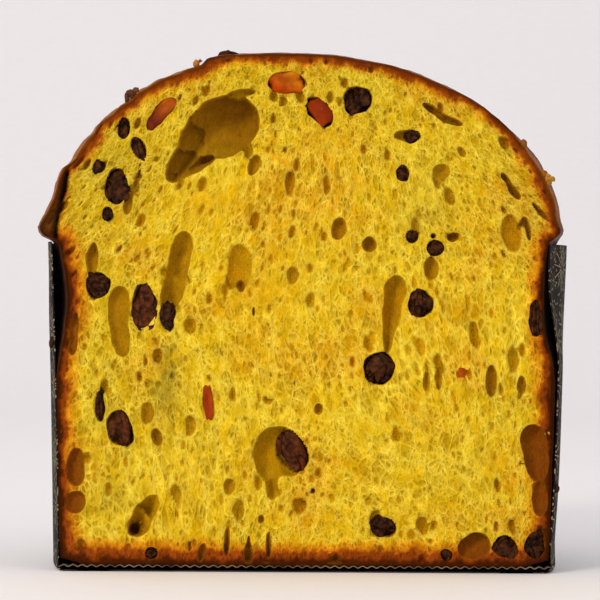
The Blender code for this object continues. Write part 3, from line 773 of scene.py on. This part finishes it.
patchy = add(shader, "TexNoise", {"Vector": way, "Scale": 0.28, "Detail": 2.0})
patchy = {"Value": patchy, "From Min": 0.35, "From Max": 0.65, "To Min": 0.10, "To Max": 1.0}
patchy = add(shader, "MapRange", patchy)
walls = add(shader, "Math", {0: walls, 1: foam}, operation="MULTIPLY")
walls = add(shader, "Math", {0: walls, 1: patchy}, operation="MULTIPLY")
cell_shade = add(shader, "Math", {0: cell_shade, 1: foam}, operation="MULTIPLY")
floor_tint = {"Fac": 1.0, "Color1": painted, "Color2": [0.90, 0.84, 0.34]}
floor_tint = add(shader, "MixRGB", floor_tint, blend_type="MULTIPLY")
# Deep cells are painted darker, as painted shade.
cell_shade_tint = {"Fac": 1.0, "Color1": painted, "Color2": [0.42, 0.33, 0.16]}
cell_shade_tint = add(shader, "MixRGB", cell_shade_tint, blend_type="MULTIPLY")
surface = add(shader, "MixRGB", {"Fac": cell_shade, "Color1": floor_tint, "Color2": cell_shade_tint})
surface = add(shader, "MixRGB", {"Fac": walls, "Color1": surface, "Color2": wall_colour_and_highlight})
# The rims of holes and pits are painted paler, as painted highlight.
painted_rim_highlight = add(shader, "MapRange", {"Value": rim, "From Min": 0.0005, "From Max": 0.0, "To Max": 0.5})
painted_rim_highlight = add(shader, "Math", {0: painted_rim_highlight, 1: foam}, operation="MULTIPLY")
surface = add(shader, "MixRGB", {"Fac": painted_rim_highlight, "Color1": surface, "Color2": wall_colour_and_highlight})
behind = add(shader, "MapRange", {"Value": rim, "From Min": 0.00006, "From Max": -0.00016})
inner_shade = add(shader, "MapRange", {"Value": tiny_floor, "To Min": 1.12, "To Max": 0.9})
hollow = add(shader, "VectorMath", {0: hollow, "Scale": inner_shade}, operation="SCALE")
surface = add(shader, "MixRGB", {"Fac": behind, "Color1": surface, "Color2": hollow})
# Brightness follows a random noise and the fibres' bump height, so raised fibres are painted lighter, as
# painted light on the relief.
clump_and_fibre_light = add(shader, "TexNoise", {"Vector": way, "Scale": 0.45, "Detail": 3.0})
clump_and_fibre_light = add(shader, "Math", {0: clump_and_fibre_light, 1: fibre}, operation="ADD")
clump_and_fibre_light = add(shader, "Math", {0: clump_and_fibre_light, 1: 0.5}, operation="MULTIPLY")
spread = {"Value": clump_and_fibre_light, "From Min": 0.3, "From Max": 0.7, "To Min": 0.80, "To Max": 1.44}
spread = add(shader, "MapRange", spread)
surface = add(shader, "VectorMath", {0: surface, "Scale": spread}, operation="SCALE")
pitted = add(shader, "Math", {0: pitted, 1: foam}, operation="MULTIPLY")
raised = add(shader, "Math", {0: fibre, 1: pitted}, operation="SUBTRACT")
bump = add(shader, "Bump", {"Height": raised, "Strength": 0.80, "Distance": 0.0008})
dress(shader, {"Base Color": surface, "Roughness": 0.82, "Normal": bump})
dress(shader, {"IOR": 1.40, "Specular IOR Level": 0.04})
face.data.materials.append(crumb_foam)

deselect()
face.select_set(True)
loaf.select_set(True)
bpy.context.view_layer.objects.active = loaf
bpy.ops.object.join()
bpy.ops.object.mode_set(mode="EDIT")
bpy.ops.mesh.select_mode(type="EDGE")
bpy.ops.mesh.select_all(action="DESELECT")
bpy.ops.mesh.select_non_manifold(
    extend=False, use_wire=False, use_multi_face=False, use_non_contiguous=False, use_verts=False
)
bpy.ops.mesh.bridge_edge_loops()
bpy.ops.mesh.select_all(action="SELECT")
bpy.ops.mesh.normals_make_consistent(inside=False)
bpy.ops.object.mode_set(mode="OBJECT")


def smooth(piece):
    """Shades one piece smooth all over."""
    deselect()
    piece.select_set(True)
    bpy.context.view_layer.objects.active = piece
    bpy.ops.object.shade_smooth()


smooth(loaf)
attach(loaf, "root")
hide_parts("loaf")

# ---------------------------------------------------------------------------------------------
# Raisins: seedless grapes dried whole, baked into the dough. Each is a ball pinched into deep folds,
# and the knife went through some, so their faces are flat and moist.


def fill_box(points, box, lean):
    """The points turned to the lean (degrees, to the right at the top) and sized to fill the box."""
    aim = math.radians(lean)
    x = points[:, 0] * math.cos(aim) + points[:, 2] * math.sin(aim)
    z = points[:, 2] * math.cos(aim) - points[:, 0] * math.sin(aim)
    turned = np.stack((x, points[:, 1], z), axis=1)
    low, high = turned.min(axis=0), turned.max(axis=0)
    box_low, box_high = np.array(box)
    return box_low + (turned - low) / (high - low) * (box_high - box_low)


def waxy_skin(name, first, second, gloss):
    """Raisin skin: dried, wrinkled and waxy, paler and duller where sugar has bloomed on it, and painted
    darker in its creases and lighter between them, as painted shade and highlight.
    """
    material, shader = start_material(name)
    where = add(shader, "TexCoord", out="Object")
    mottle = add(shader, "TexNoise", {"Vector": where, "Scale": 650.0, "Detail": 4.0})
    crease = add(shader, "Attribute", out="Fac", attribute_name="crease")
    share = add(shader, "MapRange", {"Value": mottle, "From Min": 0.35, "From Max": 0.68})
    tone = add(shader, "MixRGB", {"Fac": share, "Color1": linear(first), "Color2": linear(second)})
    # Creases are painted darker and the skin between them lighter, as painted shade and highlight.
    crease_shade_and_highlight = add(shader, "MapRange", {"Value": crease, "To Min": 1.25, "To Max": 0.45})
    tone = add(shader, "VectorMath", {0: tone, "Scale": crease_shade_and_highlight}, operation="SCALE")
    rough = add(shader, "MapRange", {"Value": mottle, "To Min": gloss - 0.10, "To Max": gloss + 0.20})
    fine = add(shader, "TexNoise", {"Vector": where, "Scale": 900.0, "Detail": 3.0})
    bump = add(shader, "Bump", {"Height": fine, "Strength": 0.5, "Distance": 0.0003})
    dress(shader, {"Base Color": tone, "Roughness": rough, "Normal": bump})
    dress(shader, {"IOR": 1.45, "Specular IOR Level": 0.07})
    return material


black_skin = waxy_skin("waxy_black_raisin_skin", "#110603", "#4c2810", 0.50)
brown_skin = waxy_skin("waxy_brown_raisin_skin", "#240f06", "#5a2c12", 0.52)

BROWN_RAISINS = ("raisin_centre_low", "raisin_low_left", "raisin_middle_left")
raisin_names = [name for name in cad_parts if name.startswith("raisin")]
for index, name in enumerate(raisin_names):
    lean, slim = ASLANT.get(name, (0, 1.0))
    deselect()
    bpy.ops.mesh.primitive_ico_sphere_add(subdivisions=6, radius=1.0)
    raisin = bpy.context.object
    raisin.name = name + "_skin"
    ball = points_of(raisin)
    # Folds run mostly the long way, and meet at the stalk's end.
    fold = np.abs(lumps(ball + 7.3 * index, (0.80, 0.80, 1.5), 201 + index))
    crumple = np.abs(lumps(ball + 3.1 * index, 0.55, 231 + index))
    crease = np.maximum(ramp(0.22, 0.0, fold), 0.7 * ramp(0.20, 0.0, crumple))
    swell = 1.0 - 0.20 * crease + 0.50 * lumps(ball + 1.7 * index, 0.80, 251 + index)
    swell += 0.14 * lumps(ball + index, 0.42, 261 + index) + 0.05 * lumps(ball, 0.20, 271 + index)
    ball = ball * swell[:, None]
    if name != "raisin_crown":
        ball[:, 1] = np.maximum(ball[:, 1], -0.80 + 0.12 * lumps(ball, 0.5, 291 + index) - 0.05 * crease)
    ball[:, 0] *= slim
    move_points(raisin, fill_box(ball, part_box(name), lean))
    note(raisin, "crease", crease)
    raisin.data.materials.append(brown_skin if name in BROWN_RAISINS else black_skin)
    smooth(raisin)
    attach(raisin, "root")
    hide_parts(name)

# ---------------------------------------------------------------------------------------------
# Candied peel: orange peel boiled in syrup and cut into small rough dice. Each is a cube, rounded
# and crumpled, see-through and sticky.

candied, shader = start_material("candied_orange_peel")
where = add(shader, "TexCoord", out="Object")
cloud = add(shader, "TexNoise", {"Vector": where, "Scale": 300.0, "Detail": 4.0})
share = add(shader, "MapRange", {"Value": cloud, "From Min": 0.35, "From Max": 0.65})
amber = add(shader, "Attribute", attribute_name="colour")
deep = add(shader, "MixRGB", {"Fac": 0.6, "Color1": amber, "Color2": linear("#7a2404")})
tone = add(shader, "MixRGB", {"Fac": share, "Color1": amber, "Color2": deep})
rough = add(shader, "MapRange", {"Value": cloud, "To Min": 0.22, "To Max": 0.48})
pores = add(shader, "TexVoronoi", {"Vector": where, "Scale": 1400.0})
bump = add(shader, "Bump", {"Height": pores, "Strength": 0.4, "Distance": 0.0002})
dress(shader, {"Base Color": tone, "Roughness": rough, "Normal": bump})
dress(shader, {"IOR": 1.48, "Specular IOR Level": 0.05})
dress(shader, {"Subsurface Weight": 0.05, "Subsurface Radius": (1.0, 0.45, 0.10)})
dress(shader, {"Subsurface Scale": 0.0015})

# Each piece's colours lower left and upper right
PEEL_COLOURS = {
    "peel_peak_long": ("#b84402", "#c87408"), "peel_upper_left": ("#5c1c04", "#b0560a"),
    "peel_low_right": ("#c05a06", "#9c4004"), "peel_peak_square": ("#9a3804", "#7a2204"),
    "peel_low_left": ("#98340a", "#a84608"),
}
peel_names = [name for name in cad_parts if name.startswith("peel")]
for index, name in enumerate(peel_names):
    lean, slim = ASLANT.get(name, (0, 1.0))
    first, second = PEEL_COLOURS[name]
    deselect()
    bpy.ops.mesh.primitive_cube_add(size=2.0)
    peel = bpy.context.object
    peel.name = name + "_flesh"
    bpy.ops.object.mode_set(mode="EDIT")
    bpy.ops.mesh.select_all(action="SELECT")
    bpy.ops.mesh.bevel(offset=0.35, segments=2, affect="EDGES")
    bpy.ops.object.mode_set(mode="OBJECT")
    finer = peel.modifiers.new("Finer", "SUBSURF")
    finer.levels = finer.render_levels = 4
    bpy.ops.object.modifier_apply(modifier="Finer")
    block = points_of(peel)
    swell = 1.0 + 0.30 * lumps(block + 4.1 * index, 1.0, 301 + index)
    swell += 0.07 * lumps(block, 0.35, 321 + index)
    block = block * swell[:, None]
    block[:, 0] *= slim
    place = fill_box(block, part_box(name), lean)
    move_points(peel, place)
    box_low, box_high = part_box(name)
    rise = ((place - np.array(box_low)) / np.array(box_high - box_low))[:, [0, 2]].mean(axis=1)
    note(peel, "colour", mixed(linear(first), linear(second), ramp(0.25, 0.75, rise)))
    peel.data.materials.append(candied)
    smooth(peel)
    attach(peel, "root")
    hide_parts(name)

# ---------------------------------------------------------------------------------------------
# The mould's side band: dark baking paper, printed outside, 0.35 mm thick, bent round from one end of
# the cut to the other, with its lower edge folded in under the loaf as a flange.

PAPER = 0.00035
FOOT_CORNER = 0.0020
FOOT_FLANGE = 0.016
BAND_LENGTH = 0.305  # laid flat, from one cut end to the other
BAND_AROUND, BAND_UP = 240, 74


def band_line(share):
    """Radius and height along the band from the flange's inner edge (0) to the rim (1), and how far past the
    fold that is."""
    turns = np.radians(np.arange(0, 91, 15))
    inside = band_radius(FOOT_CORNER) - FOOT_CORNER
    corner = [(inside + FOOT_CORNER * math.sin(t), FOOT_CORNER * (1 - math.cos(t))) for t in turns]
    line = np.array([(band_radius(0.0) - FOOT_FLANGE, 0.0), *corner, (band_radius(RIM_Z), RIM_Z)])
    length = length_along(line)
    at = share * length[-1]
    return *places_on(line, length, at).T, at - length[len(corner)]


deselect()
bpy.ops.mesh.primitive_grid_add(x_subdivisions=BAND_AROUND, y_subdivisions=BAND_UP, size=1.0)
band = bpy.context.object
band.name = "side_band_paper"
grid = points_of(band)
share_up = grid[:, 1] + 0.5
share_up = np.interp(share_up, (0.0, 0.06, 0.20, 1.0), (0.0, 0.125, 0.155, 1.0))
radius, height, length = band_line(share_up)
share = grid[:, 0] + 0.5
degrees = CUT_END + share * (180.0 - 2.0 * CUT_END)
around = np.radians(degrees)
sprung = bell(degrees, 5.0, 24.0) * ramp(0.0, 0.030, height) * ramp(0.0005, 0.003, height)
curled = ramp(1.0, CUT_END, degrees) * ramp(-60.0, -45.0, degrees)
bent = radius + (0.001 * sprung - 0.0038 * curled * ramp(0.064, 0.096, height))
unrolled = in_plane(degrees / 57.3 * RIM_RADIUS, height)
buckled = 0.00045 * lumps(unrolled, (0.022, 1.0, 0.060), 401)
buckled += 0.00015 * lumps(unrolled, (0.006, 1.0, 0.02), 402)
bent -= (0.0003 + buckled) * ramp(0.0, 0.010, height)
# Each level is stretched so that both its ends come exactly to the knife's plane.
first_end = np.degrees(np.arcsin(np.clip(CUT_Y / bent, -1, 1)))
turned = np.radians(first_end + share * (180.0 - 2.0 * first_end))
place = np.stack((bent * np.cos(turned), bent * np.sin(turned), height), axis=1)
place[:, 1] = np.where((share < 1e-6) | (share > 1 - 1e-6), CUT_Y, place[:, 1])
move_points(band, place)
note(band, "way", np.stack((share * BAND_LENGTH, length, np.zeros_like(length)), axis=1))
deselect()
band.select_set(True)
bpy.context.view_layer.objects.active = band
bpy.ops.object.mode_set(mode="EDIT")
bpy.ops.mesh.select_all(action="SELECT")
bpy.ops.mesh.normals_make_consistent(inside=False)
bpy.ops.object.mode_set(mode="OBJECT")
middle = band.data.polygons[(BAND_UP // 2) * BAND_AROUND + BAND_AROUND // 2]
if middle.normal.dot(Vector((middle.center.x, middle.center.y, 0.0))) < 0.0:
    bpy.ops.object.mode_set(mode="EDIT")
    bpy.ops.mesh.flip_normals()
    bpy.ops.object.mode_set(mode="OBJECT")
wall = band.modifiers.new("Wall", "SOLIDIFY")
wall.thickness = PAPER
wall.offset = -1.0
wall.use_even_offset = True
wall.material_offset = 1
wall.material_offset_rim = 1
bpy.ops.object.modifier_apply(modifier="Wall")
smooth(band)

# Offset-printed baking paper, near black: stars of fine grey-gold rays in staggered rows, small ones
# and dots between them. Its coating gives a low sheen.
printed_paper, shader = start_material("dark_baking_paper_offset_printed")
way = add(shader, "Attribute", out="Vector", attribute_name="way")
where = add(shader, "TexCoord", out="Object")


def printed_star(size, start, rays, reach, bare):
    """Where ink lies for stars at one spacing, in metres. How far out the rays reach, and how wide the bare
    middle is, are shares of the spacing."""
    spread = {0: way, 1: (1 / size, 1 / size, 0.0), 2: start}
    spread = add(shader, "VectorMath", spread, operation="MULTIPLY_ADD")
    away = {"Vector": spread, "Scale": 1.0, "Randomness": 0.35}
    away = add(shader, "TexVoronoi", away, voronoi_dimensions="2D")
    offset = {0: spread, 1: away.node.outputs["Position"]}
    offset = add(shader, "VectorMath", offset, operation="SUBTRACT")
    aside = add(shader, "SeparateXYZ", {0: offset})
    angle = add(shader, "Math", {0: aside.node.outputs["Y"], 1: aside}, operation="ARCTAN2")
    turns = {0: angle, 1: rays / (2 * math.pi), 2: 50.25}
    turns = add(shader, "Math", turns, operation="MULTIPLY_ADD")
    near_ray = add(shader, "Math", {0: turns, 1: 0.5}, operation="PINGPONG")
    # Turns times distance is a length, so a ray is as wide at its tip as at its root.
    width = add(shader, "Math", {0: near_ray, 1: away}, operation="MULTIPLY")
    ink = {"Value": width, "From Min": 0.018 * rays / 10, "From Max": 0.008 * rays / 10}
    ink = add(shader, "MapRange", ink)
    inside = add(shader, "MapRange", {"Value": away, "From Min": reach, "From Max": reach - 0.02})
    outside = add(shader, "MapRange", {"Value": away, "From Min": bare, "From Max": bare + 0.02})
    ink = add(shader, "Math", {0: ink, 1: inside}, operation="MULTIPLY")
    return add(shader, "Math", {0: ink, 1: outside}, operation="MULTIPLY")


big_star = printed_star(0.0190, (0.3, 0.2, 0.0), 12, 0.44, 0.05)
small_star = printed_star(0.0095, (0.7, 0.6, 0.0), 8, 0.34, 0.04)
spread = add(shader, "VectorMath", {0: way, "Scale": 330.0}, operation="SCALE")
dots = add(shader, "TexVoronoi", {"Vector": spread, "Scale": 1.0}, voronoi_dimensions="2D")
dots = add(shader, "MapRange", {"Value": dots, "From Min": 0.16, "From Max": 0.12, "To Max": 0.7})
small_star = add(shader, "Math", {0: small_star, 1: 0.6}, operation="MULTIPLY")
ink = add(shader, "Math", {0: big_star, 1: small_star}, operation="MAXIMUM")
ink = add(shader, "Math", {0: ink, 1: dots}, operation="MAXIMUM")
worn = add(shader, "TexNoise", {"Vector": where, "Scale": 700.0, "Detail": 3.0})
worn = add(shader, "MapRange", {"Value": worn, "From Min": 0.30, "From Max": 0.55, "To Min": 0.35})
ink = add(shader, "Math", {0: ink, 1: worn}, operation="MULTIPLY")
stock = add(shader, "TexNoise", {"Vector": where, "Scale": 120.0, "Detail": 5.0})
ground = add(shader, "MixRGB", {"Fac": stock, "Color1": linear("#120b08"), "Color2": linear("#251a14")})
tone = add(shader, "MixRGB", {"Fac": ink, "Color1": ground, "Color2": linear("#a29878")})
rough = add(shader, "MapRange", {"Value": stock, "To Min": 0.50, "To Max": 0.72})
fibres = add(shader, "TexNoise", {"Vector": where, "Scale": 1500.0, "Detail": 3.0})
bump = add(shader, "Bump", {"Height": fibres, "Strength": 0.3, "Distance": 0.0001})
dress(shader, {"Base Color": tone, "Roughness": rough, "Normal": bump})
dress(shader, {"IOR": 1.45, "Specular IOR Level": 0.06})
band.data.materials.append(printed_paper)

# The inside and the torn edge are unprinted, brown with butter.
plain_paper, shader = start_material("dark_baking_paper_unprinted_and_buttery")
where = add(shader, "TexCoord", out="Object")
butter = add(shader, "TexNoise", {"Vector": where, "Scale": 90.0, "Detail": 5.0})
tone = add(shader, "MixRGB", {"Fac": butter, "Color1": linear("#1a0f0a"), "Color2": linear("#3f2617")})
rough = add(shader, "MapRange", {"Value": butter, "To Min": 0.55, "To Max": 0.80})
fibres = add(shader, "TexNoise", {"Vector": where, "Scale": 1500.0, "Detail": 3.0})
bump = add(shader, "Bump", {"Height": fibres, "Strength": 0.4, "Distance": 0.0001})
dress(shader, {"Base Color": tone, "Roughness": rough, "Specular IOR Level": 0.30, "Normal": bump})
band.data.materials.append(plain_paper)
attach(band, "root")
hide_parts("mould_side_band")

# ---------------------------------------------------------------------------------------------
# The mould's fluted disc, pleated from thin baking paper, under the loaf: a sheet cut to a D, waved,
# and 0.35 mm thick.

disc_low, disc_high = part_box("mould_fluted_disc")
FLUTE_PITCH = 0.003
DISC_R = disc_high.x
DISC_ACROSS, DISC_DEEP = 380, 64

deselect()
bpy.ops.mesh.primitive_grid_add(x_subdivisions=DISC_ACROSS, y_subdivisions=DISC_DEEP, size=1.0)
disc = bpy.context.object
disc.name = "fluted_disc_paper"
grid = points_of(disc)
x = grid[:, 0] * 2.0 * DISC_R * 0.9995
reach = np.sqrt(np.maximum(DISC_R**2 - x**2, CUT_Y**2))
y = CUT_Y + (grid[:, 1] + 0.5) * (reach - CUT_Y)
swing = (disc_high.z - PAPER - disc_low.z) / 2.0
wave = 2 * math.pi * x / FLUTE_PITCH + 0.5 * lumps(grid * 4.0, 1.0, 501)
z = disc_low.z + swing + swing * np.sin(wave) * 0.98
move_points(disc, np.stack((x, y, z), axis=1))
wall = disc.modifiers.new("Wall", "SOLIDIFY")
wall.thickness = PAPER * 0.9
wall.offset = 1.0
bpy.ops.object.modifier_apply(modifier="Wall")
smooth(disc)


def buttered_paper(name, first, second):
    """Baking paper stained by butter, with the streaks of its pleats."""
    material, shader = start_material(name)
    where = add(shader, "TexCoord", out="Object")
    butter = {"Vector": where, "Scale": 110.0, "Detail": 6.0, "Roughness": 0.6}
    butter = add(shader, "TexNoise", butter)
    share = add(shader, "MapRange", {"Value": butter, "From Min": 0.35, "From Max": 0.65})
    tone = add(shader, "MixRGB", {"Fac": share, "Color1": linear(first), "Color2": linear(second)})
    rough = add(shader, "MapRange", {"Value": share, "To Min": 0.45, "To Max": 0.75})
    fibres = add(shader, "TexNoise", {"Vector": where, "Scale": 1300.0, "Detail": 3.0})
    bump = add(shader, "Bump", {"Height": fibres, "Strength": 0.4, "Distance": 0.0001})
    dress(shader, {"Base Color": tone, "Roughness": rough, "IOR": 1.45, "Normal": bump})
    return material


disc.data.materials.append(buttered_paper("fluted_baking_paper_buttered", "#3c281a", "#8c765c"))
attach(disc, "root")
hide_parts("mould_fluted_disc")

# ---------------------------------------------------------------------------------------------
# The base disc under it all, die-cut from heavier dark baking board. It keeps the plain shape that it
# is cut to.

base = bpy.data.objects["mould_base_disc"]
base.data.materials.clear()
base.data.materials.append(buttered_paper("dark_baking_board_die_cut", "#1c120d", "#35241a"))

# ---------------------------------------------------------------------------------------------
# Crumbs that the knife dragged out and torn bits of crust, each a small crumpled ball stuck to the
# loaf or the paper. They are one piece, as nothing tells one from another.

# Each crumb's x and z, half width, half height, lean to the right in degrees, and colour
CRUMBS = (
    (-0.0566, 0.1537, 0.0017, 0.0015, 30, "#6a3a16"), (-0.0580, 0.1524, 0.0008, 0.0017, 4, "#5a2c12"),
    (-0.0552, 0.1549, 0.0011, 0.0009, 0, "#7a4418"), (-0.0357, 0.1636, 0.0011, 0.0013, 20, "#c07c30"),
    (-0.0345, 0.1644, 0.0007, 0.0006, 0, "#a05a20"), (0.0697, 0.1382, 0.0013, 0.0017, -30, "#8a5010"),
    (0.0762, 0.1288, 0.0014, 0.0012, -40, "#a8600c"), (0.0776, 0.1276, 0.0012, 0.0014, -30, "#c88a1c"),
    (0.0790, 0.1270, 0.0011, 0.0009, 0, "#d09a30"), (0.0780, 0.1258, 0.0010, 0.0011, 0, "#b87814"),
    (-0.0818, 0.0735, 0.0009, 0.0020, 4, "#2c1608"), (0.0812, 0.0274, 0.0008, 0.0015, 0, "#2a1508"),
    (0.0781, 0.0453, 0.0012, 0.0010, 10, "#c08a10"), (0.0174, 0.1646, 0.0010, 0.0005, -10, "#7a4416"),
)

bits = []
for index, (bit_x, bit_z, half_wide, half_tall, lean, tone) in enumerate(CRUMBS):
    deselect()
    bpy.ops.mesh.primitive_ico_sphere_add(subdivisions=4, radius=1.0)
    bit = bpy.context.object
    ball = points_of(bit)
    swell = 1.0 + 0.35 * lumps(ball + 5.0 * index, 0.8, 601) + 0.12 * lumps(ball, 0.3, 602)
    ball = ball * swell[:, None]
    front = CUT_Y + 0.0001
    back = front + 1.4 * (half_wide + half_tall) / 2
    low_corner = (bit_x - half_wide, front, bit_z - half_tall)
    high_corner = (bit_x + half_wide, back, bit_z + half_tall)
    move_points(bit, fill_box(ball, (low_corner, high_corner), lean))
    note(bit, "colour", mixed(linear(tone), linear("#3a1a08"), 0.3 + 0.3 * lumps(ball, 0.6, 603)))
    note(bit, "shine", np.zeros(len(ball)))
    bit.data.materials.append(glazed_crust)
    bits.append(bit)
deselect()
for bit in bits:
    bit.select_set(True)
bpy.context.view_layer.objects.active = bits[0]
bpy.ops.object.join()
bits[0].name = "torn_crumbs"
bpy.ops.object.shade_smooth()
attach(bits[0], "root")
